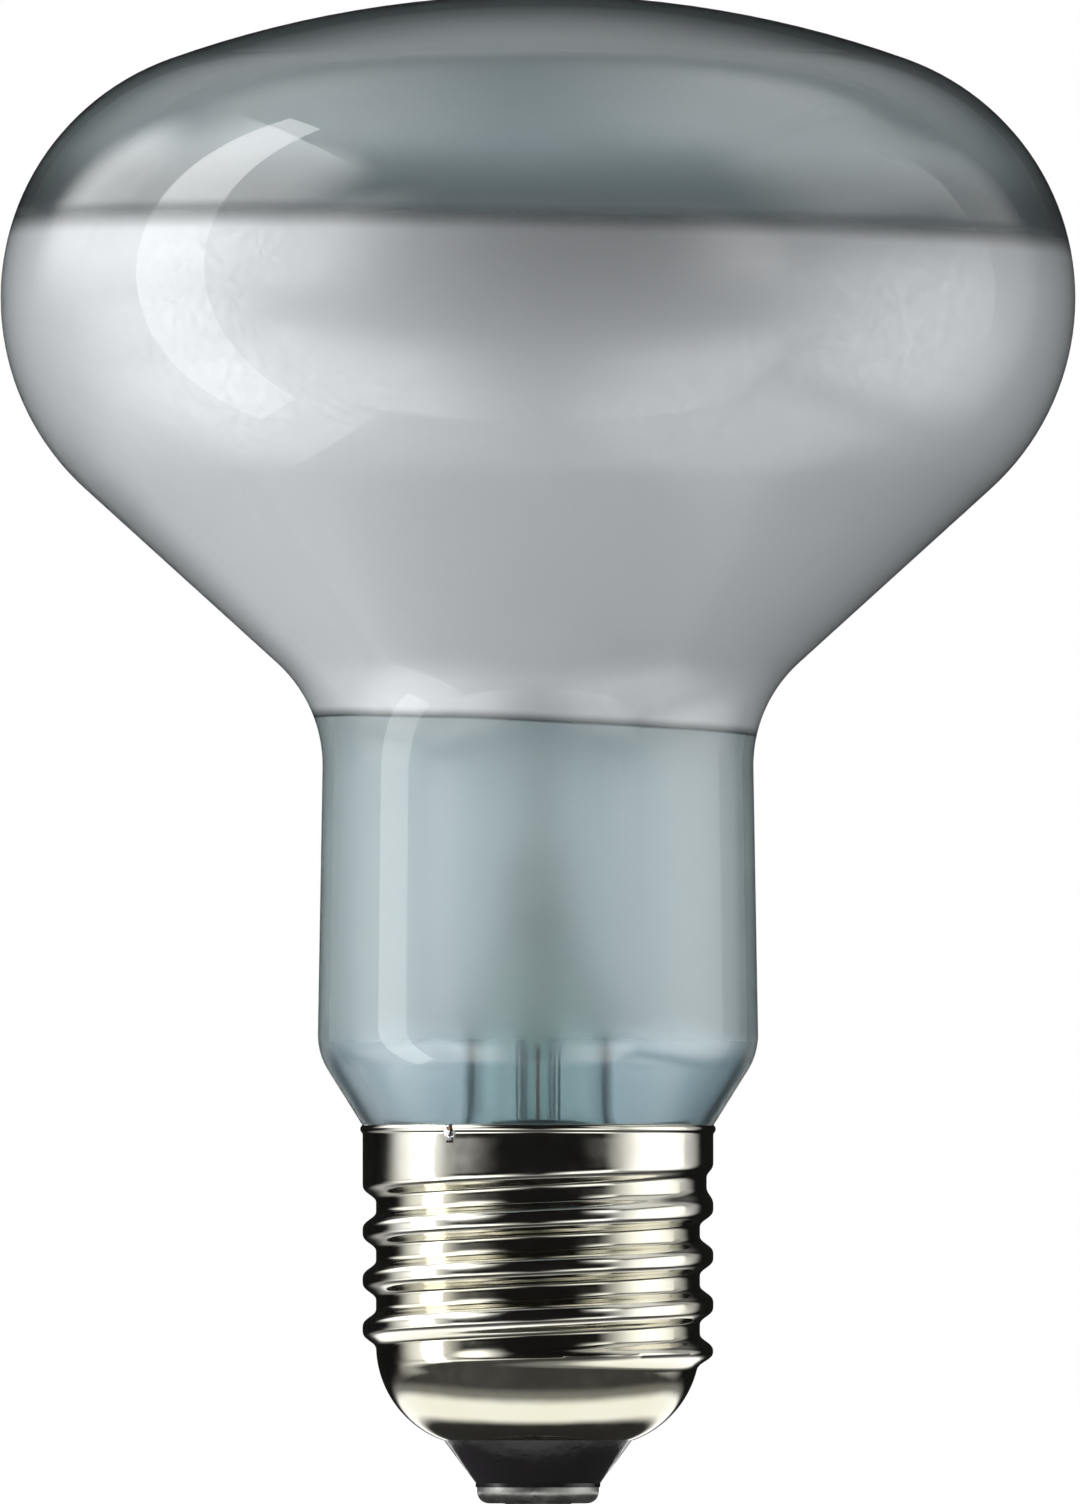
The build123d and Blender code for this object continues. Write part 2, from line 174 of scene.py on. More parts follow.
def makeGrain():  # fine mottling: a value between two limits and a height for bumps
    group, given, put = newGroup(
        "fineGrain",
        [("Scale", "Float", 500.0), ("Detail", "Float", 4.0), ("Low", "Float", 0.0), ("High", "Float", 1.0)],
        [("Value", "Float"), ("Height", "Float")],
    )
    place = addNode(group, "TexCoord")
    cloud = addNode(group, "TexNoise")
    spread = addNode(group, "MapRange", {"From Min": 0.3, "From Max": 0.7})
    join(group, place.outputs["Object"], cloud.inputs["Vector"])
    join(group, given.outputs["Scale"], cloud.inputs["Scale"])
    join(group, given.outputs["Detail"], cloud.inputs["Detail"])
    join(group, cloud.outputs["Fac"], spread.inputs["Value"])
    join(group, given.outputs["Low"], spread.inputs["To Min"])
    join(group, given.outputs["High"], spread.inputs["To Max"])
    join(group, spread.outputs["Result"], put.inputs["Value"])
    join(group, cloud.outputs["Fac"], put.inputs["Height"])
    return group


def makeLevelFade():  # 0 under a tilted level, 1 above it, with a slightly wandering edge
    group, given, put = newGroup(
        "levelFade",
        [
            ("Level", "Float", 0.05),
            ("Tilt", "Float", 0.0),
            ("Spread", "Float", 0.001),
            ("Wander", "Float", 0.0),
            ("Wander Scale", "Float", 120.0),
        ],
        [("Mask", "Float")],
    )
    place = addNode(group, "TexCoord")
    split = addNode(group, "SeparateXYZ")
    tilted = addNode(group, "Math", operation="MULTIPLY_ADD")
    above = addNode(group, "Math", operation="SUBTRACT")
    cloud = addNode(group, "TexNoise", {"Detail": 3.0})
    centred = addNode(group, "Math", {1: 0.5}, operation="SUBTRACT")
    wander = addNode(group, "Math", operation="MULTIPLY")
    wandered = addNode(group, "Math", operation="ADD")
    share = addNode(group, "Math", operation="DIVIDE")
    soft = addNode(group, "MapRange", {"From Min": -0.5, "From Max": 0.5}, interpolation_type="SMOOTHSTEP")
    join(group, place.outputs["Object"], split.inputs["Vector"])
    join(group, place.outputs["Object"], cloud.inputs["Vector"])
    join(group, given.outputs["Wander Scale"], cloud.inputs["Scale"])
    join(group, split.outputs["X"], tilted.inputs[0])
    join(group, given.outputs["Tilt"], tilted.inputs[1])
    join(group, split.outputs["Z"], tilted.inputs[2])
    join(group, tilted.outputs[0], above.inputs[0])
    join(group, given.outputs["Level"], above.inputs[1])
    join(group, cloud.outputs["Fac"], centred.inputs[0])
    join(group, centred.outputs[0], wander.inputs[0])
    join(group, given.outputs["Wander"], wander.inputs[1])
    join(group, wander.outputs[0], wandered.inputs[0])
    join(group, above.outputs[0], wandered.inputs[1])
    join(group, wandered.outputs[0], share.inputs[0])
    join(group, given.outputs["Spread"], share.inputs[1])
    join(group, share.outputs[0], soft.inputs["Value"])
    join(group, soft.outputs["Result"], put.inputs["Mask"])
    return group


fineGrain = makeGrain()
levelFade = makeLevelFade()


def letLampsThrough(tree, shader, tint):  # lamps shine straight through this glass
    rays = addNode(tree, "LightPath")
    clear = addNode(tree, "BsdfTransparent", {"Color": tint})
    mix = addNode(tree, "MixShader")
    join(tree, rays.outputs["Is Shadow Ray"], mix.inputs["Fac"])
    join(tree, shader.outputs["BSDF"], mix.inputs[1])
    join(tree, clear.outputs["BSDF"], mix.inputs[2])
    join(tree, mix.outputs["Shader"], tree.nodes["Material Output"].inputs["Surface"])


def setShader(tree, values):
    shader = tree.nodes["Principled BSDF"]
    for key, value in values.items():
        shader.inputs[key].default_value = value
    return shader


def bumpFrom(tree, height, shader, strength, distance):
    bump = addNode(tree, "Bump", {"Strength": strength, "Distance": distance})
    join(tree, height, bump.inputs["Height"])
    join(tree, bump.outputs["Normal"], shader.inputs["Normal"])


def mixColours(tree, mask, low, high, target):
    blend = addNode(tree, "Mix", data_type="RGBA")
    blend.inputs["A"].default_value = low
    blend.inputs["B"].default_value = high
    join(tree, mask, blend.inputs["Factor"])
    if target is not None:
        join(tree, blend.outputs["Result"], target)
    return blend


# bulb: blown glass with a frosted inside

bulb = {
    "diameter": 80.0,
    "length": 112.8,
    "faceHeight": 22.5,
    "shoulderRadius": 18.8,
    "bellyRadius": 19.2,
    "reflectorAngle": 47.8,
    "throatRadius": 10.3,
    "neckTop": 31.9,
    "neckFoot": 32.8,
    "neckFootRadius": 5.0,
    "sealAngle": 32.0,
    "sealDiameter": 21.6,
    "wall": 0.8,
    "frostLevel": 35.2,  # the inside is clear below it
    "frostSpread": 4.5,
    "rimLevel": 28.87,
    "seatRadius": 13.15,
    "turnSteps": 192,
}
film = {
    "depth": 0.74,
    "thickness": 0.05,
    "topHeight": 5.6,
    "topTilt": 1.1,
    "footDrop": 1.6,
    "footTilt": 2.7,
    "haze": 5.0,  # thin metal that drifted past the upper edge, coloured near-black there as painted shade
    "hazeCover": 0.24,
}


def bulbRuns():  # lengths and turns of the runs between the rounded corners
    radius, neckTop, neckFoot = bulb["diameter"] / 2, bulb["neckTop"] / 2, bulb["neckFoot"] / 2
    slope = math.tan(math.radians(bulb["sealAngle"]))
    cone = math.radians(bulb["reflectorAngle"])
    footLevel = bulb["rimLevel"] + (neckFoot - bulb["seatRadius"]) / slope
    endLevel = footLevel - (neckFoot - bulb["sealDiameter"] / 2) / slope
    equator = bulb["length"] - bulb["faceHeight"]
    bellyTangent = bulb["bellyRadius"] * math.tan(cone / 2)
    bellyLevel = equator - bellyTangent
    throatLevel = bellyLevel - (radius - neckTop) / math.tan(cone)
    tilt = math.degrees(math.atan((neckFoot - neckTop) / (throatLevel - footLevel)))
    footTurn, throatTurn = bulb["sealAngle"] + tilt, bulb["reflectorAngle"] + tilt
    footTangent = bulb["neckFootRadius"] * math.tan(math.radians(footTurn / 2))
    throatTangent = bulb["throatRadius"] * math.tan(math.radians(throatTurn / 2))
    crownRise = (bulb["faceHeight"] - bulb["shoulderRadius"]) / (radius - bulb["shoulderRadius"])
    shoulderTurn = 90 - 2 * math.degrees(math.atan(crownRise))
    return {
        "endLevel": endLevel,
        "footTurn": footTurn,
        "throatTurn": throatTurn,
        "shoulderTurn": shoulderTurn,
        "seal": (footLevel - endLevel) / math.cos(math.radians(bulb["sealAngle"])) - footTangent,
        "neck": math.hypot(neckFoot - neckTop, throatLevel - footLevel) - footTangent - throatTangent,
        "cone": (bellyLevel - throatLevel) / math.cos(cone) - throatTangent - bellyTangent,
        "faceRadius": bulb["shoulderRadius"]
        + (radius - bulb["shoulderRadius"]) / math.cos(math.radians(shoulderTurn)),
        "equator": equator,
        "throatLevel": throatLevel,
    }


runs = bulbRuns()
filmTop = runs["equator"] + film["topHeight"]
filmFoot = runs["throatLevel"] - film["footDrop"]


def drawBulb(name, depth):  # from the sealed end to the crown, at a depth under the outside
    seal = math.radians(bulb["sealAngle"])
    pen = penDown(
        name,
        bulb["sealDiameter"] / 2 - depth * math.cos(seal),
        runs["endLevel"] + depth * math.sin(seal),
        90 - bulb["sealAngle"],
    )
    penLine(pen, runs["seal"], 4)
    penArc(pen, bulb["neckFootRadius"] - depth, runs["footTurn"], 10)
    penLine(pen, runs["neck"], 10)
    penArc(pen, bulb["throatRadius"] + depth, -runs["throatTurn"], 14)
    penLine(pen, runs["cone"], 8)
    penArc(pen, bulb["bellyRadius"] - depth, bulb["reflectorAngle"], 18)
    penArc(pen, bulb["shoulderRadius"] - depth, runs["shoulderTurn"], 26)
    penArc(pen, runs["faceRadius"] - depth, 90 - runs["shoulderTurn"], 14)
    return pen


def makeClearGlass():
    finish, tree = newFinish("clearGlass")
    shader = setShader(
        tree,
        {"IOR": 1.5, "Transmission Weight": 1.0, "Roughness": 0.0, "Coat IOR": 1.7, "Coat Roughness": 0.0},
    )
    wave = addGroup(tree, fineGrain, {"Scale": 60.0, "Detail": 1.0})
    bumpFrom(tree, wave.outputs["Height"], shader, 0.05, 0.0002)
    dome = addGroup(
        tree,
        levelFade,
        {"Level": filmTop * mm, "Tilt": math.sin(math.radians(film["topTilt"])), "Spread": 1.0 * mm},
    )
    above = addGroup(
        tree,
        levelFade,
        {"Level": filmFoot * mm, "Tilt": math.sin(math.radians(film["footTilt"])), "Spread": 1.0 * mm},
    )
    bare = addNode(tree, "Math", operation="SUBTRACT")
    bare.inputs[0].default_value = 1.0
    both = addNode(tree, "Math", operation="ADD")
    join(tree, above.outputs["Mask"], bare.inputs[1])
    part = addNode(tree, "Math", {1: 0.2}, operation="MULTIPLY")
    join(tree, bare.outputs[0], part.inputs[0])
    join(tree, part.outputs[0], both.inputs[0])
    join(tree, dome.outputs["Mask"], both.inputs[1])
    join(tree, both.outputs[0], shader.inputs["Coat Weight"])
    edge = addNode(tree, "LayerWeight", {"Blend": 0.5})
    steep = addNode(tree, "Math", {1: 6.0}, operation="POWER")
    join(tree, edge.outputs["Facing"], steep.inputs[0])
    mixColours(
        tree, steep.outputs[0], (0.95, 0.975, 0.965, 1), (0.45, 0.54, 0.5, 1), shader.inputs["Base Color"]
    )
    return finish


def makeFrostedInside():
    finish, tree = newFinish("frostedInside")
    shader = setShader(tree, {"IOR": 1.5, "Transmission Weight": 0.6})
    frost = addGroup(
        tree,
        levelFade,
        {
            "Level": bulb["frostLevel"] * mm,
            "Spread": bulb["frostSpread"] * mm,
            "Wander": 0.5 * mm,
            "Wander Scale": 60.0,
        },
    )
    speck = addGroup(tree, fineGrain, {"Scale": 2500.0, "Detail": 1.0, "Low": 0.55, "High": 0.57})
    rough = addNode(tree, "Math", operation="MULTIPLY_ADD")
    rough.inputs[2].default_value = 0.03
    join(tree, frost.outputs["Mask"], rough.inputs[0])
    join(tree, speck.outputs["Value"], rough.inputs[1])
    join(tree, rough.outputs[0], shader.inputs["Roughness"])
    mixColours(
        tree, frost.outputs["Mask"], (0.4, 0.53, 0.6, 1), (0.7, 0.81, 0.85, 1), shader.inputs["Base Color"]
    )
    return finish


def makeMirrorFilm():
    finish, tree = newFinish("mirrorFilm")
    shader = setShader(tree, {"Metallic": 0.72})
    topTilt = math.sin(math.radians(film["topTilt"]))
    footTilt = math.sin(math.radians(film["footTilt"]))
    satin = addGroup(tree, fineGrain, {"Scale": 1500.0, "Detail": 2.0, "Low": 0.5, "High": 0.56})
    join(tree, satin.outputs["Value"], shader.inputs["Roughness"])
    # a darker band along the foot edge, where the film thins out: its dark colour is painted shade
    fringe = addGroup(
        tree,
        levelFade,
        {"Level": (filmFoot + 0.55) * mm, "Tilt": footTilt, "Spread": 0.9 * mm, "Wander": 0.3 * mm},
    )
    silver = mixColours(tree, fringe.outputs["Mask"], (0.16, 0.18, 0.19, 1), (0.81, 0.82, 0.85, 1), None)
    # the film thins out towards its upper edge and into the haze; its near-black colour there is painted shade
    thinningAndShade = addGroup(tree, levelFade, {"Level": (filmTop - 1.0) * mm, "Tilt": topTilt, "Spread": 2.4 * mm})
    paintedEdgeShade = mixColours(
        tree, thinningAndShade.outputs["Mask"], (1, 1, 1, 1), (0.05, 0.055, 0.056, 1), shader.inputs["Base Color"]
    )
    join(tree, silver.outputs["Result"], paintedEdgeShade.inputs["A"])
    drift = addGroup(
        tree,
        levelFade,
        {"Level": (filmTop + film["haze"] / 2) * mm, "Tilt": topTilt, "Spread": film["haze"] * mm},
    )
    foot = addGroup(
        tree,
        levelFade,
        {"Level": (filmFoot + 0.2) * mm, "Tilt": footTilt, "Spread": 0.3 * mm, "Wander": 0.2 * mm},
    )
    thinned = addNode(tree, "Math", {1: film["hazeCover"] - 1, 2: 1.0}, operation="MULTIPLY_ADD")
    drifted = addNode(tree, "Math", {1: -film["hazeCover"]}, operation="MULTIPLY_ADD")
    left = addNode(tree, "Math", operation="MULTIPLY")
    join(tree, thinningAndShade.outputs["Mask"], thinned.inputs[0])
    join(tree, drift.outputs["Mask"], drifted.inputs[0])
    join(tree, thinned.outputs[0], drifted.inputs[2])
    join(tree, drifted.outputs[0], left.inputs[0])
    join(tree, foot.outputs["Mask"], left.inputs[1])
    join(tree, left.outputs[0], shader.inputs["Alpha"])
    return finish


clearGlass = makeClearGlass()
frostedInside = makeFrostedInside()
mirrorFilm = makeMirrorFilm()

bulbGlass = turnSection(drawBulb("bulbGlass", 0), bulb["turnSteps"])
bulbGlass.data.materials.append(clearGlass)
bulbGlass.data.materials.append(frostedInside)
giveWall(bulbGlass, bulb["wall"], 1)
smoothPiece(bulbGlass, 40)
setPiece(bulbGlass, "bulb_glass", "bulb_envelope")
print("bulb turned")


def cutLevel(level, tilt, keepAbove):  # the film ends in slightly tilted edges
    bpy.ops.mesh.select_all(action="SELECT")
    bpy.ops.mesh.bisect(
        plane_co=(0, 0, level * mm),
        plane_no=(math.sin(math.radians(tilt)), 0, 1),
        clear_inner=keepAbove,
        clear_outer=not keepAbove,
    )


filmPiece = turnSection(drawBulb("filmCoat", film["depth"]), bulb["turnSteps"])
bpy.ops.object.mode_set(mode="EDIT")
cutLevel(filmTop + film["haze"] + 0.2, film["topTilt"], False)
cutLevel(filmFoot, film["footTilt"], True)
bpy.ops.object.mode_set(mode="OBJECT")
filmPiece.data.materials.append(mirrorFilm)
giveWall(filmPiece, film["thickness"])
smoothPiece(filmPiece, 40)
setPiece(filmPiece, "mirror_film", "reflector_coating")
print("film laid")


# screw cap: rolled nickel-plated shell

shell = {
    "wall": 0.3,
    "lipRadius": 7.1,
    "lipLevel": 5.3,
    "bottomAngle": 20.0,
    "rootRadius": 12.05,
    "crestRadius": 13.05,
    "pitch": 3.629,
    "rootShare": 0.08,  # more of it leaves wider flat roots between the crests
    "turns": 4.0,
    "leadIn": 0.5,
    "runOut": 1.0,
    "threadFoot": 10.43,
    "firstRise": 1.32,
    "rimTop": 28.75,
    "beadRadius": 0.36,
    "beadFillet": 0.25,
    "beadTurn": 45.0,
    "beadEnd": 60.0,  # past upright, so that the edge closes on the glass
    "rowHeight": 0.13,
    "turnSteps": 192,
    "notchAngle": -120.0,
    "notchWidth": 0.6,
    "notchDepth": 1.4,
}
rootFoot = shell["threadFoot"]
firstCrest = rootFoot + shell["firstRise"]
threadTop = firstCrest + shell["turns"] * shell["pitch"]


def threadRadius(turn, level):  # a ridge that leads in below, a groove that runs out above
    depth = shell["crestRadius"] - shell["rootRadius"]
    height = (level - firstCrest) / shell["pitch"]
    rise = (1 + math.cos(2 * math.pi * (height - turn))) / 2
    wave = ease((rise - shell["rootShare"]) / (1 - shell["rootShare"]))
    if height < shell["turns"] / 2:
        ridgeTurn = turn + math.floor(height - turn + 0.5)
        fade = ease(1 + ridgeTurn / shell["leadIn"]) * ease((level - rootFoot) / shell["firstRise"])
        return shell["rootRadius"] + depth * wave * fade
    grooveTurn = turn + math.floor(height - turn) + 0.5
    fade = ease((shell["turns"] - grooveTurn) / shell["runOut"])
    fade *= ease((threadTop - level) / shell["firstRise"])
    return shell["crestRadius"] - depth * (1 - wave) * fade


def rollThread(piece):
    for vertex in piece.data.vertices:
        level = vertex.co.z / mm
        if rootFoot < level < threadTop + 0.01:
            turn = (math.atan2(vertex.co.y, vertex.co.x) / (2 * math.pi)) % 1.0
            drawn = math.hypot(vertex.co.x, vertex.co.y)
            scale = 1 + (threadRadius(turn, level) - shell["rootRadius"]) * mm / drawn
            vertex.co.x *= scale
            vertex.co.y *= scale


def cutNotch(piece):  # the side lead comes out through the rim here
    bpy.ops.object.select_all(action="DESELECT")
    bpy.ops.mesh.primitive_cube_add(
        size=1,
        location=placeRound(shell["crestRadius"], shell["notchAngle"], shell["rimTop"]),
        rotation=(0, 0, math.radians(shell["notchAngle"])),
        scale=(3 * mm, shell["notchWidth"] * mm, 2 * shell["notchDepth"] * mm),
    )
    cutter = bpy.context.object
    notch = piece.modifiers.new("notch", "BOOLEAN")
    notch.operation = "DIFFERENCE"
    notch.solver = "EXACT"
    notch.object = cutter
    applyModifier(piece, notch)
    bpy.data.objects.remove(cutter)


def makeNickel():
    finish, tree = newFinish("nickelPlate")
    shader = setShader(tree, {"Metallic": 1.0})
    place = addNode(tree, "TexCoord")
    split = addNode(tree, "SeparateXYZ")
    flat = addNode(tree, "CombineXYZ")
    span = addNode(tree, "VectorMath", operation="LENGTH")
    groove = addNode(
        tree,
        "MapRange",
        {"From Min": (shell["rootRadius"] - 0.1) * mm, "From Max": (shell["crestRadius"] - 0.2) * mm},
    )
    join(tree, place.outputs["Object"], split.inputs["Vector"])
    join(tree, split.outputs["X"], flat.inputs["X"])
    join(tree, split.outputs["Y"], flat.inputs["Y"])
    join(tree, flat.outputs["Vector"], span.inputs[0])
    join(tree, span.outputs["Value"], groove.inputs["Value"])
    plain = mixColours(tree, groove.outputs["Result"], (0.6, 0.585, 0.5, 1), (0.76, 0.75, 0.69, 1), None)
    stain = addGroup(tree, fineGrain, {"Scale": 220.0, "Detail": 5.0, "Low": 0.0, "High": 0.55})
    aged = mixColours(
        tree, stain.outputs["Value"], (1, 1, 1, 1), (0.56, 0.53, 0.4, 1), shader.inputs["Base Color"]
    )
    join(tree, plain.outputs["Result"], aged.inputs["A"])
    worn = addGroup(tree, fineGrain, {"Scale": 900.0, "Detail": 6.0, "Low": 0.05, "High": 0.13})
    join(tree, worn.outputs["Value"], shader.inputs["Roughness"])
    wavy = addGroup(tree, fineGrain, {"Scale": 260.0, "Detail": 1.5})
    bumpFrom(tree, wavy.outputs["Height"], shader, 0.1, 0.0004)
    return finish


nickelPlate = makeNickel()

pen = penDown("screwShell", shell["lipRadius"], shell["lipLevel"], shell["bottomAngle"])
lipTurn = math.radians(shell["bottomAngle"])
bowlRadius = (shell["rootRadius"] - shell["lipRadius"]) / (1 - math.sin(lipTurn))
penArc(pen, bowlRadius, 90 - shell["bottomAngle"], 44)
penTo(pen, shell["rootRadius"], threadTop, round((threadTop - pen["z"]) / shell["rowHeight"]))
penTo(pen, shell["crestRadius"], threadTop + 0.05)
turnIn = math.radians(shell["beadTurn"])
beadEnd = math.radians(shell["beadEnd"])
beadHeight = shell["beadRadius"] * (math.cos(turnIn) + math.sin(beadEnd))
beadHeight += shell["beadFillet"] * math.sin(turnIn)
penTo(pen, shell["crestRadius"], shell["rimTop"] - beadHeight, 4)
penArc(pen, shell["beadFillet"], -shell["beadTurn"], 4)
penArc(pen, shell["beadRadius"], shell["beadEnd"] + shell["beadTurn"], 12)
screwShell = turnSection(pen, shell["turnSteps"])
rollThread(screwShell)
screwShell.data.materials.append(nickelPlate)
giveWall(screwShell, shell["wall"])
cutNotch(screwShell)
smoothPiece(screwShell, 35)
setPiece(screwShell, "nickel_plate", "cap_shell")
print("thread rolled")


# centre contact: black glass, plate and solder

foot = {
    "solderHeight": 0.6,
    "solderRadius": 2.5,
    "solderFlat": 1.3,
    "plateTop": 1.8,
    "plateRadius": 4.55,
    "plateEdge": 0.9,
    "plateHole": 0.9,
    "eyeletWall": 0.4,
    "eyeletTop": 4.0,
    "shoulder": 2.1,
    "glassRadius": 4.65,
    "glassTop": 8.9,
    "glassCorner": 8.17,
    "seatAngle": 35.0,
    "fitGap": 0.05,
    "lipClear": 0.1,
    "cornerInset": 1.6,
}


def makeBlackGlass():
    finish, tree = newFinish("blackGlass")
    shader = setShader(tree, {"Base Color": (0.012, 0.011, 0.012, 1), "IOR": 1.52, "Specular IOR Level": 0.3})
    flow = addGroup(tree, fineGrain, {"Scale": 350.0, "Detail": 3.0, "Low": 0.05, "High": 0.16})
    join(tree, flow.outputs["Value"], shader.inputs["Roughness"])
    bumpFrom(tree, flow.outputs["Height"], shader, 0.35, 0.0004)
    return finish


def makeBrushedMetal(name, low, high, rough, bump):
    finish, tree = newFinish(name)
    shader = setShader(tree, {"Metallic": 1.0})
    grain = addGroup(tree, fineGrain, {"Scale": 1200.0, "Detail": 5.0, "Low": rough[0], "High": rough[1]})
    cloud = addGroup(tree, fineGrain, {"Scale": 400.0, "Detail": 3.0})
    join(tree, grain.outputs["Value"], shader.inputs["Roughness"])
    mixColours(tree, cloud.outputs["Value"], low, high, shader.inputs["Base Color"])
    bumpFrom(tree, grain.outputs["Height"], shader, bump, 0.0001)
    return finish


blackGlass = makeBlackGlass()
contactMetal = makeBrushedMetal("contactMetal", (0.22, 0.22, 0.21, 1), (0.42, 0.42, 0.4, 1), (0.25, 0.45), 0.3)
solderTin = makeBrushedMetal("solderTin", (0.5, 0.5, 0.51, 1), (0.72, 0.72, 0.73, 1), (0.2, 0.4), 0.4)

gap = shell["wall"] + foot["fitGap"]
drop = math.radians(foot["seatAngle"])
lip = (shell["lipRadius"] - gap * math.sin(drop), shell["lipLevel"] + gap * math.cos(drop))
hole = foot["plateHole"] + foot["eyeletWall"] + foot["fitGap"]
pen = penDown("insulatorGlass", hole, foot["glassTop"])
penTo(pen, hole, foot["plateTop"], 4)
penTo(pen, foot["glassRadius"], foot["plateTop"], 3)
penTo(pen, foot["glassRadius"], foot["shoulder"])
penTo(pen, shell["lipRadius"] - foot["lipClear"], shell["lipLevel"], 5)
penTo(pen, lip[0], lip[1])
penTo(pen, shell["rootRadius"] - foot["cornerInset"], foot["glassCorner"], 4)
penTo(pen, shell["rootRadius"] - gap, rootFoot, 3)
penTo(pen, hole, foot["glassTop"], 4)
insulatorGlass = turnSection(pen, 128)
insulatorGlass.data.materials.append(blackGlass)
smoothPiece(insulatorGlass, 30)
setPiece(insulatorGlass, "black_glass", "cap_insulator")

pen = penDown("contactPlate", foot["plateHole"], foot["eyeletTop"], -90)
penTo(pen, foot["plateHole"], foot["solderHeight"], 4)
penTo(pen, foot["plateRadius"] - foot["plateEdge"], foot["solderHeight"], 4)
penArc(pen, foot["plateEdge"], 90, 8)
penTo(pen, foot["plateRadius"], foot["plateTop"])
penTo(pen, foot["plateHole"] + foot["eyeletWall"], foot["plateTop"], 3)
penTo(pen, foot["plateHole"] + foot["eyeletWall"], foot["eyeletTop"], 2)
penTo(pen, foot["plateHole"], foot["eyeletTop"])
contactPlate = turnSection(pen, 96)
contactPlate.data.materials.append(contactMetal)
smoothPiece(contactPlate, 30)
setPiece(contactPlate, "contact_metal", "contact_plate")

pen = penDown("centreSolder", 0, 0, 0)
penTo(pen, foot["solderFlat"], 0, 4)
rise = foot["solderHeight"]
reach = foot["solderRadius"] - foot["solderFlat"]
beadRadius = (reach * reach + rise * rise) / (2 * rise)
beadTurn = math.degrees(math.asin(reach / beadRadius))
penArc(pen, beadRadius, beadTurn, 10)
penTo(pen, foot["plateHole"] - foot["fitGap"], rise, 3)
penTo(pen, foot["plateHole"] - foot["fitGap"], foot["plateTop"], 2)
penTo(pen, 0, foot["plateTop"], 2)
centreSolder = turnSection(pen, 72)
centreSolder.data.materials.append(solderTin)
smoothPiece(centreSolder, 40)
setPiece(centreSolder, "solder", "centre_solder")
print("foot turned")

sideJoint = {
    "radius": 0.5,
    "tall": 1.3,
    "lumps": 0.22,
    "lumpSize": 0.5,
    "reach": 12.95,
    "level": 28.1,
    "angle": -120.0,
}


def makeSideSolder():
    bpy.ops.object.select_all(action="DESELECT")
    bpy.ops.mesh.primitive_ico_sphere_add(subdivisions=5, radius=sideJoint["radius"] * mm)
    piece = bpy.context.object
    piece.name = "sideSolder"
    piece.data.name = "sideSolder"
    cloud = bpy.data.textures.new("solderLumps", "CLOUDS")
    cloud.noise_scale = sideJoint["lumpSize"] * mm
    lumps = piece.modifiers.new("lumps", "DISPLACE")
    lumps.texture = cloud
    lumps.strength = sideJoint["lumps"] * mm
    applyModifier(piece, lumps)
    bpy.ops.object.mode_set(mode="EDIT")
    bpy.ops.mesh.select_all(action="SELECT")
    bpy.ops.transform.resize(value=(1, 1, sideJoint["tall"]))
    bpy.ops.transform.translate(value=placeRound(sideJoint["reach"], sideJoint["angle"], sideJoint["level"]))
    bpy.ops.object.mode_set(mode="OBJECT")
    return piece


sideSolder = makeSideSolder()
sideSolder.data.materials.append(solderTin)
smoothPiece(sideSolder, 60)
setPiece(sideSolder, "solder", "side_solder")
print("side lead soldered")


# filament: fine wire wound in a coil and bent to a half ring

coil = {
    "ringRadius": 8.0,
    "level": 74.3,
    "coilRadius": 0.28,
    "wireRadius": 0.055,
    "windings": 62,
}


def windFilament():
    length = math.pi * coil["ringRadius"]
    bpy.ops.object.select_all(action="DESELECT")
    bpy.ops.mesh.primitive_circle_add(
        vertices=6, radius=coil["wireRadius"] * mm, rotation=(math.pi / 2, 0, 0)
    )
    piece = bpy.context.object
    piece.name = "filamentCoil"
    piece.data.name = "filamentCoil"
    bpy.ops.object.transform_apply(location=False, rotation=True, scale=False)
    bpy.ops.object.mode_set(mode="EDIT")
    bpy.ops.mesh.select_all(action="SELECT")
    bpy.ops.transform.translate(value=(coil["coilRadius"] * mm, 0, 0))
    bpy.ops.object.mode_set(mode="OBJECT")
    winding = piece.modifiers.new("winding", "SCREW")
    winding.axis = "Z"
    winding.angle = 2 * math.pi
    winding.screw_offset = length / coil["windings"] * mm
    winding.iterations = coil["windings"]
    winding.steps = 10
    winding.render_steps = 10
    applyModifier(piece, winding)
    for vertex in piece.data.vertices:  # the straight coil bent round the lamp axis
        around = math.pi * (vertex.co.z / (length * mm) - 0.5)
        out = coil["ringRadius"] * mm + vertex.co.x
        vertex.co = (out * math.cos(around), out * math.sin(around), coil["level"] * mm + vertex.co.y)
    bpy.ops.object.mode_set(mode="EDIT")
    bpy.ops.mesh.select_all(action="SELECT")
    bpy.ops.mesh.remove_doubles(threshold=0.002 * mm)
    bpy.ops.mesh.fill_holes(sides=6)
    bpy.ops.mesh.normals_make_consistent(inside=False)
    bpy.ops.object.mode_set(mode="OBJECT")
    return piece


tungstenWire = makeBrushedMetal("tungstenWire", (0.2, 0.2, 0.21, 1), (0.34, 0.34, 0.35, 1), (0.35, 0.55), 0.3)
filamentCoil = windFilament()
filamentCoil.data.materials.append(tungstenWire)
smoothPiece(filamentCoil, 40)
setPiece(filamentCoil, "tungsten", "filament")
print("filament wound")


# glass mount, wires and cement keep their CAD shapes

def makeStemGlass():
    finish, tree = newFinish("stemGlass")
    shader = setShader(
        tree, {"Base Color": (0.86, 0.93, 0.9, 1), "IOR": 1.54, "Transmission Weight": 1.0, "Roughness": 0.02}
    )
    wave = addGroup(tree, fineGrain, {"Scale": 150.0, "Detail": 1.0})
    bumpFrom(tree, wave.outputs["Height"], shader, 0.08, 0.0003)
    letLampsThrough(tree, shader, (0.82, 0.88, 0.86, 1))
    return finish


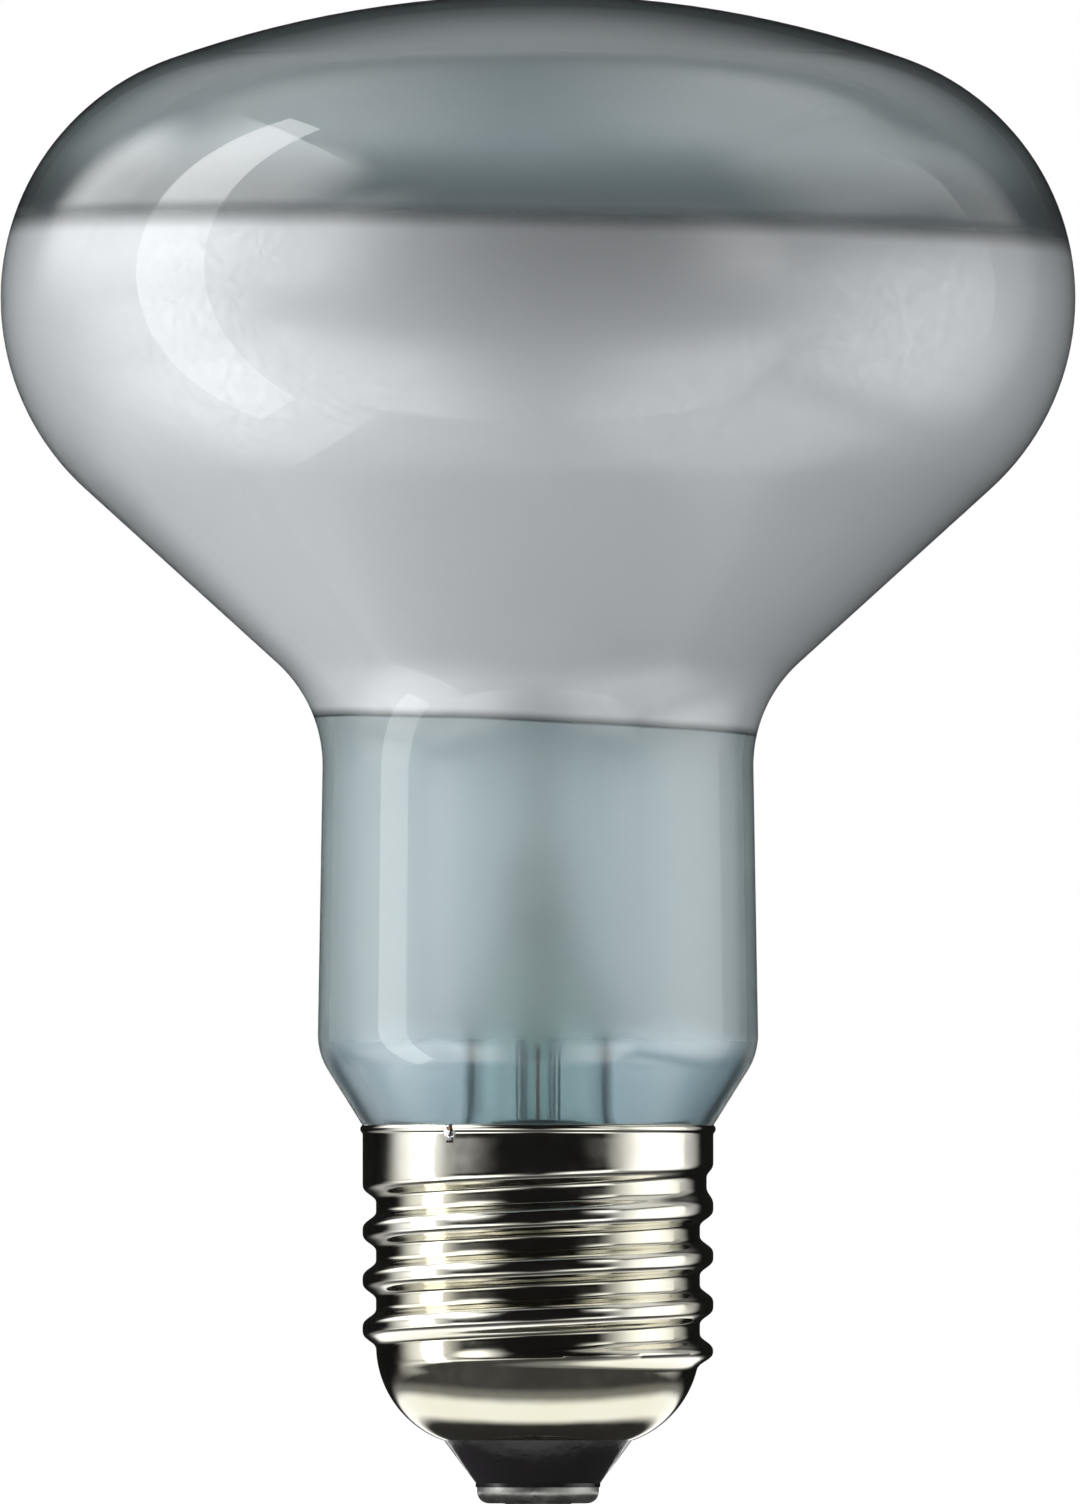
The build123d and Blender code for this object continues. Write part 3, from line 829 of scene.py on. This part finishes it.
def makeCement():
    finish, tree = newFinish("basingCement")
    shader = setShader(tree, {})
    grit = addGroup(tree, fineGrain, {"Scale": 1800.0, "Detail": 6.0, "Low": 0.75, "High": 0.95})
    join(tree, grit.outputs["Value"], shader.inputs["Roughness"])
    mixColours(
        tree, grit.outputs["Height"], (0.42, 0.4, 0.34, 1), (0.72, 0.69, 0.6, 1), shader.inputs["Base Color"]
    )
    bumpFrom(tree, grit.outputs["Height"], shader, 0.6, 0.0002)
    return finish


wireFinishes = {  # by the slot of the CAD node
    "support_wire": makeBrushedMetal(
        "supportWire", (0.42, 0.42, 0.43, 1), (0.6, 0.6, 0.61, 1), (0.25, 0.4), 0.1
    ),
    "nickel_lead": makeBrushedMetal(
        "leadNickel", (0.5, 0.48, 0.44, 1), (0.68, 0.66, 0.61, 1), (0.2, 0.35), 0.1
    ),
    "copper_wire": makeBrushedMetal(
        "leadCopper", (0.5, 0.22, 0.13, 1), (0.78, 0.42, 0.28, 1), (0.2, 0.4), 0.1
    ),
    "fuse_wire": makeBrushedMetal(
        "fuseWire", (0.45, 0.45, 0.44, 1), (0.62, 0.61, 0.58, 1), (0.25, 0.4), 0.1
    ),
    "solder": solderTin,
    "stem_glass": makeStemGlass(),
    "cement": makeCement(),
}
for name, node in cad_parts.items():
    if node.hide_render:
        continue
    finish = wireFinishes.get(node.material_slots[0].material.name.split(".")[0])
    if finish is not None:
        node.material_slots[0].material = finish
print("mount finished")


# stage: floor, lamps, cards, white world and camera

stage = {
    "floorSize": 14.0,
    "floorGlow": (0.6, 0.85),  # near the lamp and far from it
    "floorFade": (0.12, 0.6),
    "floorColour": (0.5, 0.5, 0.5, 1),
    "softboxPlace": (-0.5, -0.041, 0.264),
    "softboxSize": (0.172, 1.37),
    "softboxLean": 8.6,  # its top leans away from the camera
    "softboxLight": 1.75,
    "worldLight": 0.15,
    "tentSize": 2.4,
    "tentLight": 0.004,
    "shadeReach": 0.05,
    "shadeThin": 0.7,  # from this share of its reach it thins out
    "shadeForward": -0.35,  # below 0 the rings reach farther at the sides of the cap
    "shadeRings": (  # radius and light
        (0, 0.02), (6.9, 0.03), (9.2, 1.5), (12.6, 1.5),
        (16.0, 0.3), (20.0, 0.06), (30.0, 0.06), (46.0, 0.8),
    ),
}
cards = {  # place, width and height, facing, light, soft share of each side
    "leftHigh": ((-0.62, -0.12, 0.6), (1.2, 1.2), (1, 0, 0), 2.1, (0.4, 0.2)),
    "leftLow": ((-0.62, -0.12, -0.6), (1.2, 1.2), (1, 0, 0), 2.1, (0.4, 0.2)),
    "leftMiddle": ((-0.6, -0.05, 0.0), (0.8, 0.24), (1, 0, 0), 1.4, (0.42, 0.35)),
    "leftBack": ((-0.6, 0.32, 0.42), (0.55, 0.75), (0.88, -0.47, 0), 1.9, (0.4, 0.3)),
    "leftBackLow": ((-0.5, 0.62, -0.6), (0.9, 0.9), (0.6, -0.8, 0), 0.55, (0.3, 0.3)),
    "rightScreen": ((0.62, -0.03, -0.05), (1.3, 0.75), (-1, 0, 0), 2.0, (0.5, 0.3)),
    "rightHigh": ((0.63, 0.0, 0.7), (1.2, 0.9), (-1, 0, 0), 0.9, (0.4, 0.25)),
    "rightLow": ((0.63, -0.12, -0.8), (1.05, 0.9), (-1, 0, 0), 1.2, (0.4, 0.25)),
    "rightBack": ((0.6, 0.3, 0.3), (0.5, 0.8), (-0.88, -0.47, 0), 0.45, (0.4, 0.35)),
    "frontLowLeft": ((-0.6, -0.58, -0.62), (1.2, 1.1), (0, 1, 0), 2.3, (0.35, 0.25)),
    "frontLowRight": ((0.5, -0.58, -0.62), (1.0, 1.1), (0, 1, 0), 1.9, (0.35, 0.25)),
    "frontLeft": ((-0.72, -0.58, 0.38), (0.95, 0.8), (0, 1, 0), 2.5, (0.45, 0.35)),
    "frontRight": ((0.62, -0.58, 0.3), (0.7, 0.6), (0, 1, 0), 1.5, (0.45, 0.4)),
    "backWindow": ((0.0, 0.59, 0.15), (0.9, 0.5), (0, -1, 0), 2.5, (0.4, 0.4)),
    "backHigh": ((0.0, 0.6, 0.65), (1.6, 0.7), (0, -1, 0), 0.27, (0.4, 0.4)),
    "topLeft": ((-0.5, 0.15, 1.0), (1.1, 1.4), (0, 0, -1), 0.7, (0.45, 0.35)),
    "topRight": ((0.45, 0.15, 1.01), (1.1, 1.4), (0, 0, -1), 0.9, (0.45, 0.35)),
    "underLeft": ((-0.5, 0.1, -1.0), (1.4, 1.8), (0, 0, 1), 0.7, (0.35, 0.3)),
    "underRight": ((0.5, -0.2, -1.01), (1.0, 1.4), (0, 0, 1), 1.25, (0.35, 0.3)),
}


def makeFloor():
    bpy.ops.object.select_all(action="DESELECT")
    bpy.ops.mesh.primitive_plane_add(size=stage["floorSize"], location=(0, 0, -0.0001))
    floor = bpy.context.object
    floor.name = "floor"
    finish, tree = newFinish("paleFloor")
    shader = setShader(tree, {"Base Color": stage["floorColour"], "Roughness": 0.9})
    shader.inputs["Emission Color"].default_value = (1, 1, 1, 1)
    rays = addNode(tree, "LightPath")
    place = addNode(tree, "TexCoord")
    away = addNode(tree, "VectorMath", operation="LENGTH")
    near, far = stage["floorGlow"]
    start, end = stage["floorFade"]
    glow = addNode(tree, "MapRange", {"From Min": start, "From Max": end, "To Min": near, "To Max": far})
    shown = addNode(tree, "Math", operation="MULTIPLY")
    join(tree, place.outputs["Object"], away.inputs[0])
    join(tree, away.outputs["Value"], glow.inputs["Value"])
    join(tree, glow.outputs["Result"], shown.inputs[0])
    join(tree, rays.outputs["Is Camera Ray"], shown.inputs[1])
    join(tree, shown.outputs[0], shader.inputs["Emission Strength"])
    floor.data.materials.append(finish)
    floor.visible_glossy = False  # metal and glass see the white room below the horizon
    floor.visible_transmission = False
    floor.visible_shadow = False


def addLamp(name, place, size, radiance, lean):
    lamp = bpy.data.lights.new(name, "AREA")
    lamp.shape = "RECTANGLE"
    lamp.size, lamp.size_y = size
    lamp.energy = radiance * size[0] * size[1] * math.pi
    holder = bpy.data.objects.new(name, lamp)
    bpy.context.scene.collection.objects.link(holder)
    holder.location = place
    holder.rotation_mode = "QUATERNION"
    upright = Vector((1, 0, 0)).to_track_quat("-Z", "Y")
    holder.rotation_quaternion = Quaternion((1, 0, 0), -math.radians(lean)) @ upright
    holder.visible_camera = False


def newGlow(name):  # matt black that only shines
    finish, tree = newFinish(name)
    shader = setShader(
        tree,
        {
            "Base Color": (0.01, 0.01, 0.01, 1),
            "Roughness": 1.0,
            "Specular IOR Level": 0.0,
            "Emission Color": (1, 1, 1, 1),
            "Emission Strength": 1.0,
        },
    )
    return finish, tree, shader


def addTent():  # dim walls behind the cards
    bpy.ops.object.select_all(action="DESELECT")
    bpy.ops.mesh.primitive_cube_add(size=stage["tentSize"])
    tent = bpy.context.object
    tent.name = "tent"
    finish, tree, shader = newGlow("tent")
    shader.inputs["Emission Strength"].default_value = stage["tentLight"]
    tent.data.materials.append(finish)
    tent.visible_camera = False
    tent.visible_diffuse = False
    tent.visible_shadow = False


def softShare(tree, coordinate, edge):  # 1 in the middle of a card, 0 at its border
    size = addNode(tree, "Math", operation="ABSOLUTE")
    fall = addNode(
        tree,
        "MapRange",
        {"From Min": 0.5 - edge, "From Max": 0.5, "To Min": 1.0, "To Max": 0.0},
        interpolation_type="SMOOTHSTEP",
    )
    join(tree, coordinate, size.inputs[0])
    join(tree, size.outputs[0], fall.inputs["Value"])
    return fall.outputs["Result"]


def addContactShade():  # the floor close to the cap, as its polished underside sees it
    bpy.ops.object.select_all(action="DESELECT")
    bpy.ops.mesh.primitive_plane_add(size=2 * stage["shadeReach"], location=(0, 0, -0.0008))
    card = bpy.context.object
    card.name = "contactShade"
    finish, tree, shader = newGlow("contactShade")
    place = addNode(tree, "TexCoord")
    away = addNode(tree, "VectorMath", operation="LENGTH")
    split = addNode(tree, "SeparateXYZ")
    wider = addNode(tree, "Math", {1: 1 + stage["shadeForward"]}, operation="MULTIPLY")
    ahead = addNode(tree, "Math", {1: stage["shadeForward"]}, operation="MULTIPLY_ADD")
    share = addNode(tree, "Math", {1: stage["shadeReach"]}, operation="DIVIDE")
    ramp = addNode(tree, "ValToRGB")
    ramp.color_ramp.interpolation = "EASE"
    ramp.color_ramp.elements.remove(ramp.color_ramp.elements[1])
    for number, (radius, light) in enumerate(stage["shadeRings"]):
        if number > 0:
            ramp.color_ramp.elements.new(radius * mm / stage["shadeReach"])
        ramp.color_ramp.elements[number].color = (light, light, light, 1)
    join(tree, place.outputs["Object"], away.inputs[0])
    join(tree, place.outputs["Object"], split.inputs["Vector"])
    join(tree, away.outputs["Value"], wider.inputs[0])
    join(tree, split.outputs["Y"], ahead.inputs[0])
    join(tree, wider.outputs[0], ahead.inputs[2])
    join(tree, ahead.outputs[0], share.inputs[0])
    join(tree, share.outputs[0], ramp.inputs["Fac"])
    join(tree, ramp.outputs["Color"], shader.inputs["Emission Color"])
    thinFrom = stage["shadeThin"] * stage["shadeReach"]
    thin = addNode(
        tree,
        "MapRange",
        {"From Min": thinFrom, "From Max": stage["shadeReach"], "To Min": 1.0, "To Max": 0.0},
    )
    join(tree, away.outputs["Value"], thin.inputs["Value"])
    join(tree, thin.outputs["Result"], shader.inputs["Alpha"])
    card.data.materials.append(finish)
    card.visible_camera = False
    card.visible_diffuse = False
    card.visible_shadow = False


def addCard(name, place, size, facing, light, edge):  # thins out towards its border
    bpy.ops.object.select_all(action="DESELECT")
    bpy.ops.mesh.primitive_plane_add(size=1)
    card = bpy.context.object
    card.name = name
    card.location = place
    card.scale = (size[0], size[1], 1)
    card.rotation_mode = "QUATERNION"
    card.rotation_quaternion = Vector(facing).to_track_quat("Z", "Y")
    finish, tree, shader = newGlow(name)
    shader.inputs["Emission Strength"].default_value = light
    coords = addNode(tree, "TexCoord")
    split = addNode(tree, "SeparateXYZ")
    both = addNode(tree, "Math", operation="MULTIPLY")
    join(tree, coords.outputs["Object"], split.inputs["Vector"])
    join(tree, softShare(tree, split.outputs["X"], edge[0]), both.inputs[0])
    join(tree, softShare(tree, split.outputs["Y"], edge[1]), both.inputs[1])
    join(tree, both.outputs[0], shader.inputs["Alpha"])
    card.data.materials.append(finish)
    card.visible_camera = False
    card.visible_shadow = False
    return card


makeFloor()
addLamp("softbox", stage["softboxPlace"], stage["softboxSize"], stage["softboxLight"], stage["softboxLean"])
for name, card in cards.items():
    addCard(name, *card).visible_glossy = name != "backWindow"  # that one shines only through the glass
addContactShade()
addTent()

world = bpy.data.worlds.new("whiteRoom")
world.use_nodes = True
tree = world.node_tree
rays = addNode(tree, "LightPath")
seen = addNode(tree, "Math", operation="MAXIMUM")
seenToo = addNode(tree, "Math", operation="MAXIMUM")
level = addNode(tree, "MapRange", {"To Min": stage["worldLight"], "To Max": 1.0})
join(tree, rays.outputs["Is Camera Ray"], seen.inputs[0])
join(tree, rays.outputs["Is Glossy Ray"], seen.inputs[1])
join(tree, seen.outputs[0], seenToo.inputs[0])
join(tree, rays.outputs["Is Transmission Ray"], seenToo.inputs[1])
join(tree, seenToo.outputs[0], level.inputs["Value"])
tree.nodes["Background"].inputs["Color"].default_value = (1, 1, 1, 1)
join(tree, level.outputs["Result"], tree.nodes["Background"].inputs["Strength"])
bpy.context.scene.world = world

view = {
    "distance": 2.4,
    "height": 0.010,
    "aim": (0.00015, 0, 0.0565),
    "frameHeight": 0.1119,
    "sensor": 36.0,
}
cameraData = bpy.data.cameras.new("camera")
cameraData.sensor_fit = "AUTO"
cameraData.sensor_width = view["sensor"]
cameraData.lens = view["sensor"] * view["distance"] / view["frameHeight"]
cameraData.clip_start = 0.1
cameraData.clip_end = 100
camera = bpy.data.objects.new("camera", cameraData)
bpy.context.scene.collection.objects.link(camera)
camera.location = (view["aim"][0], -view["distance"], view["height"])
camera.rotation_mode = "QUATERNION"
camera.rotation_quaternion = (Vector(view["aim"]) - camera.location).to_track_quat("-Z", "Y")
bpy.context.scene.camera = camera
bpy.context.scene.view_settings.view_transform = "Standard"
print("stage set")
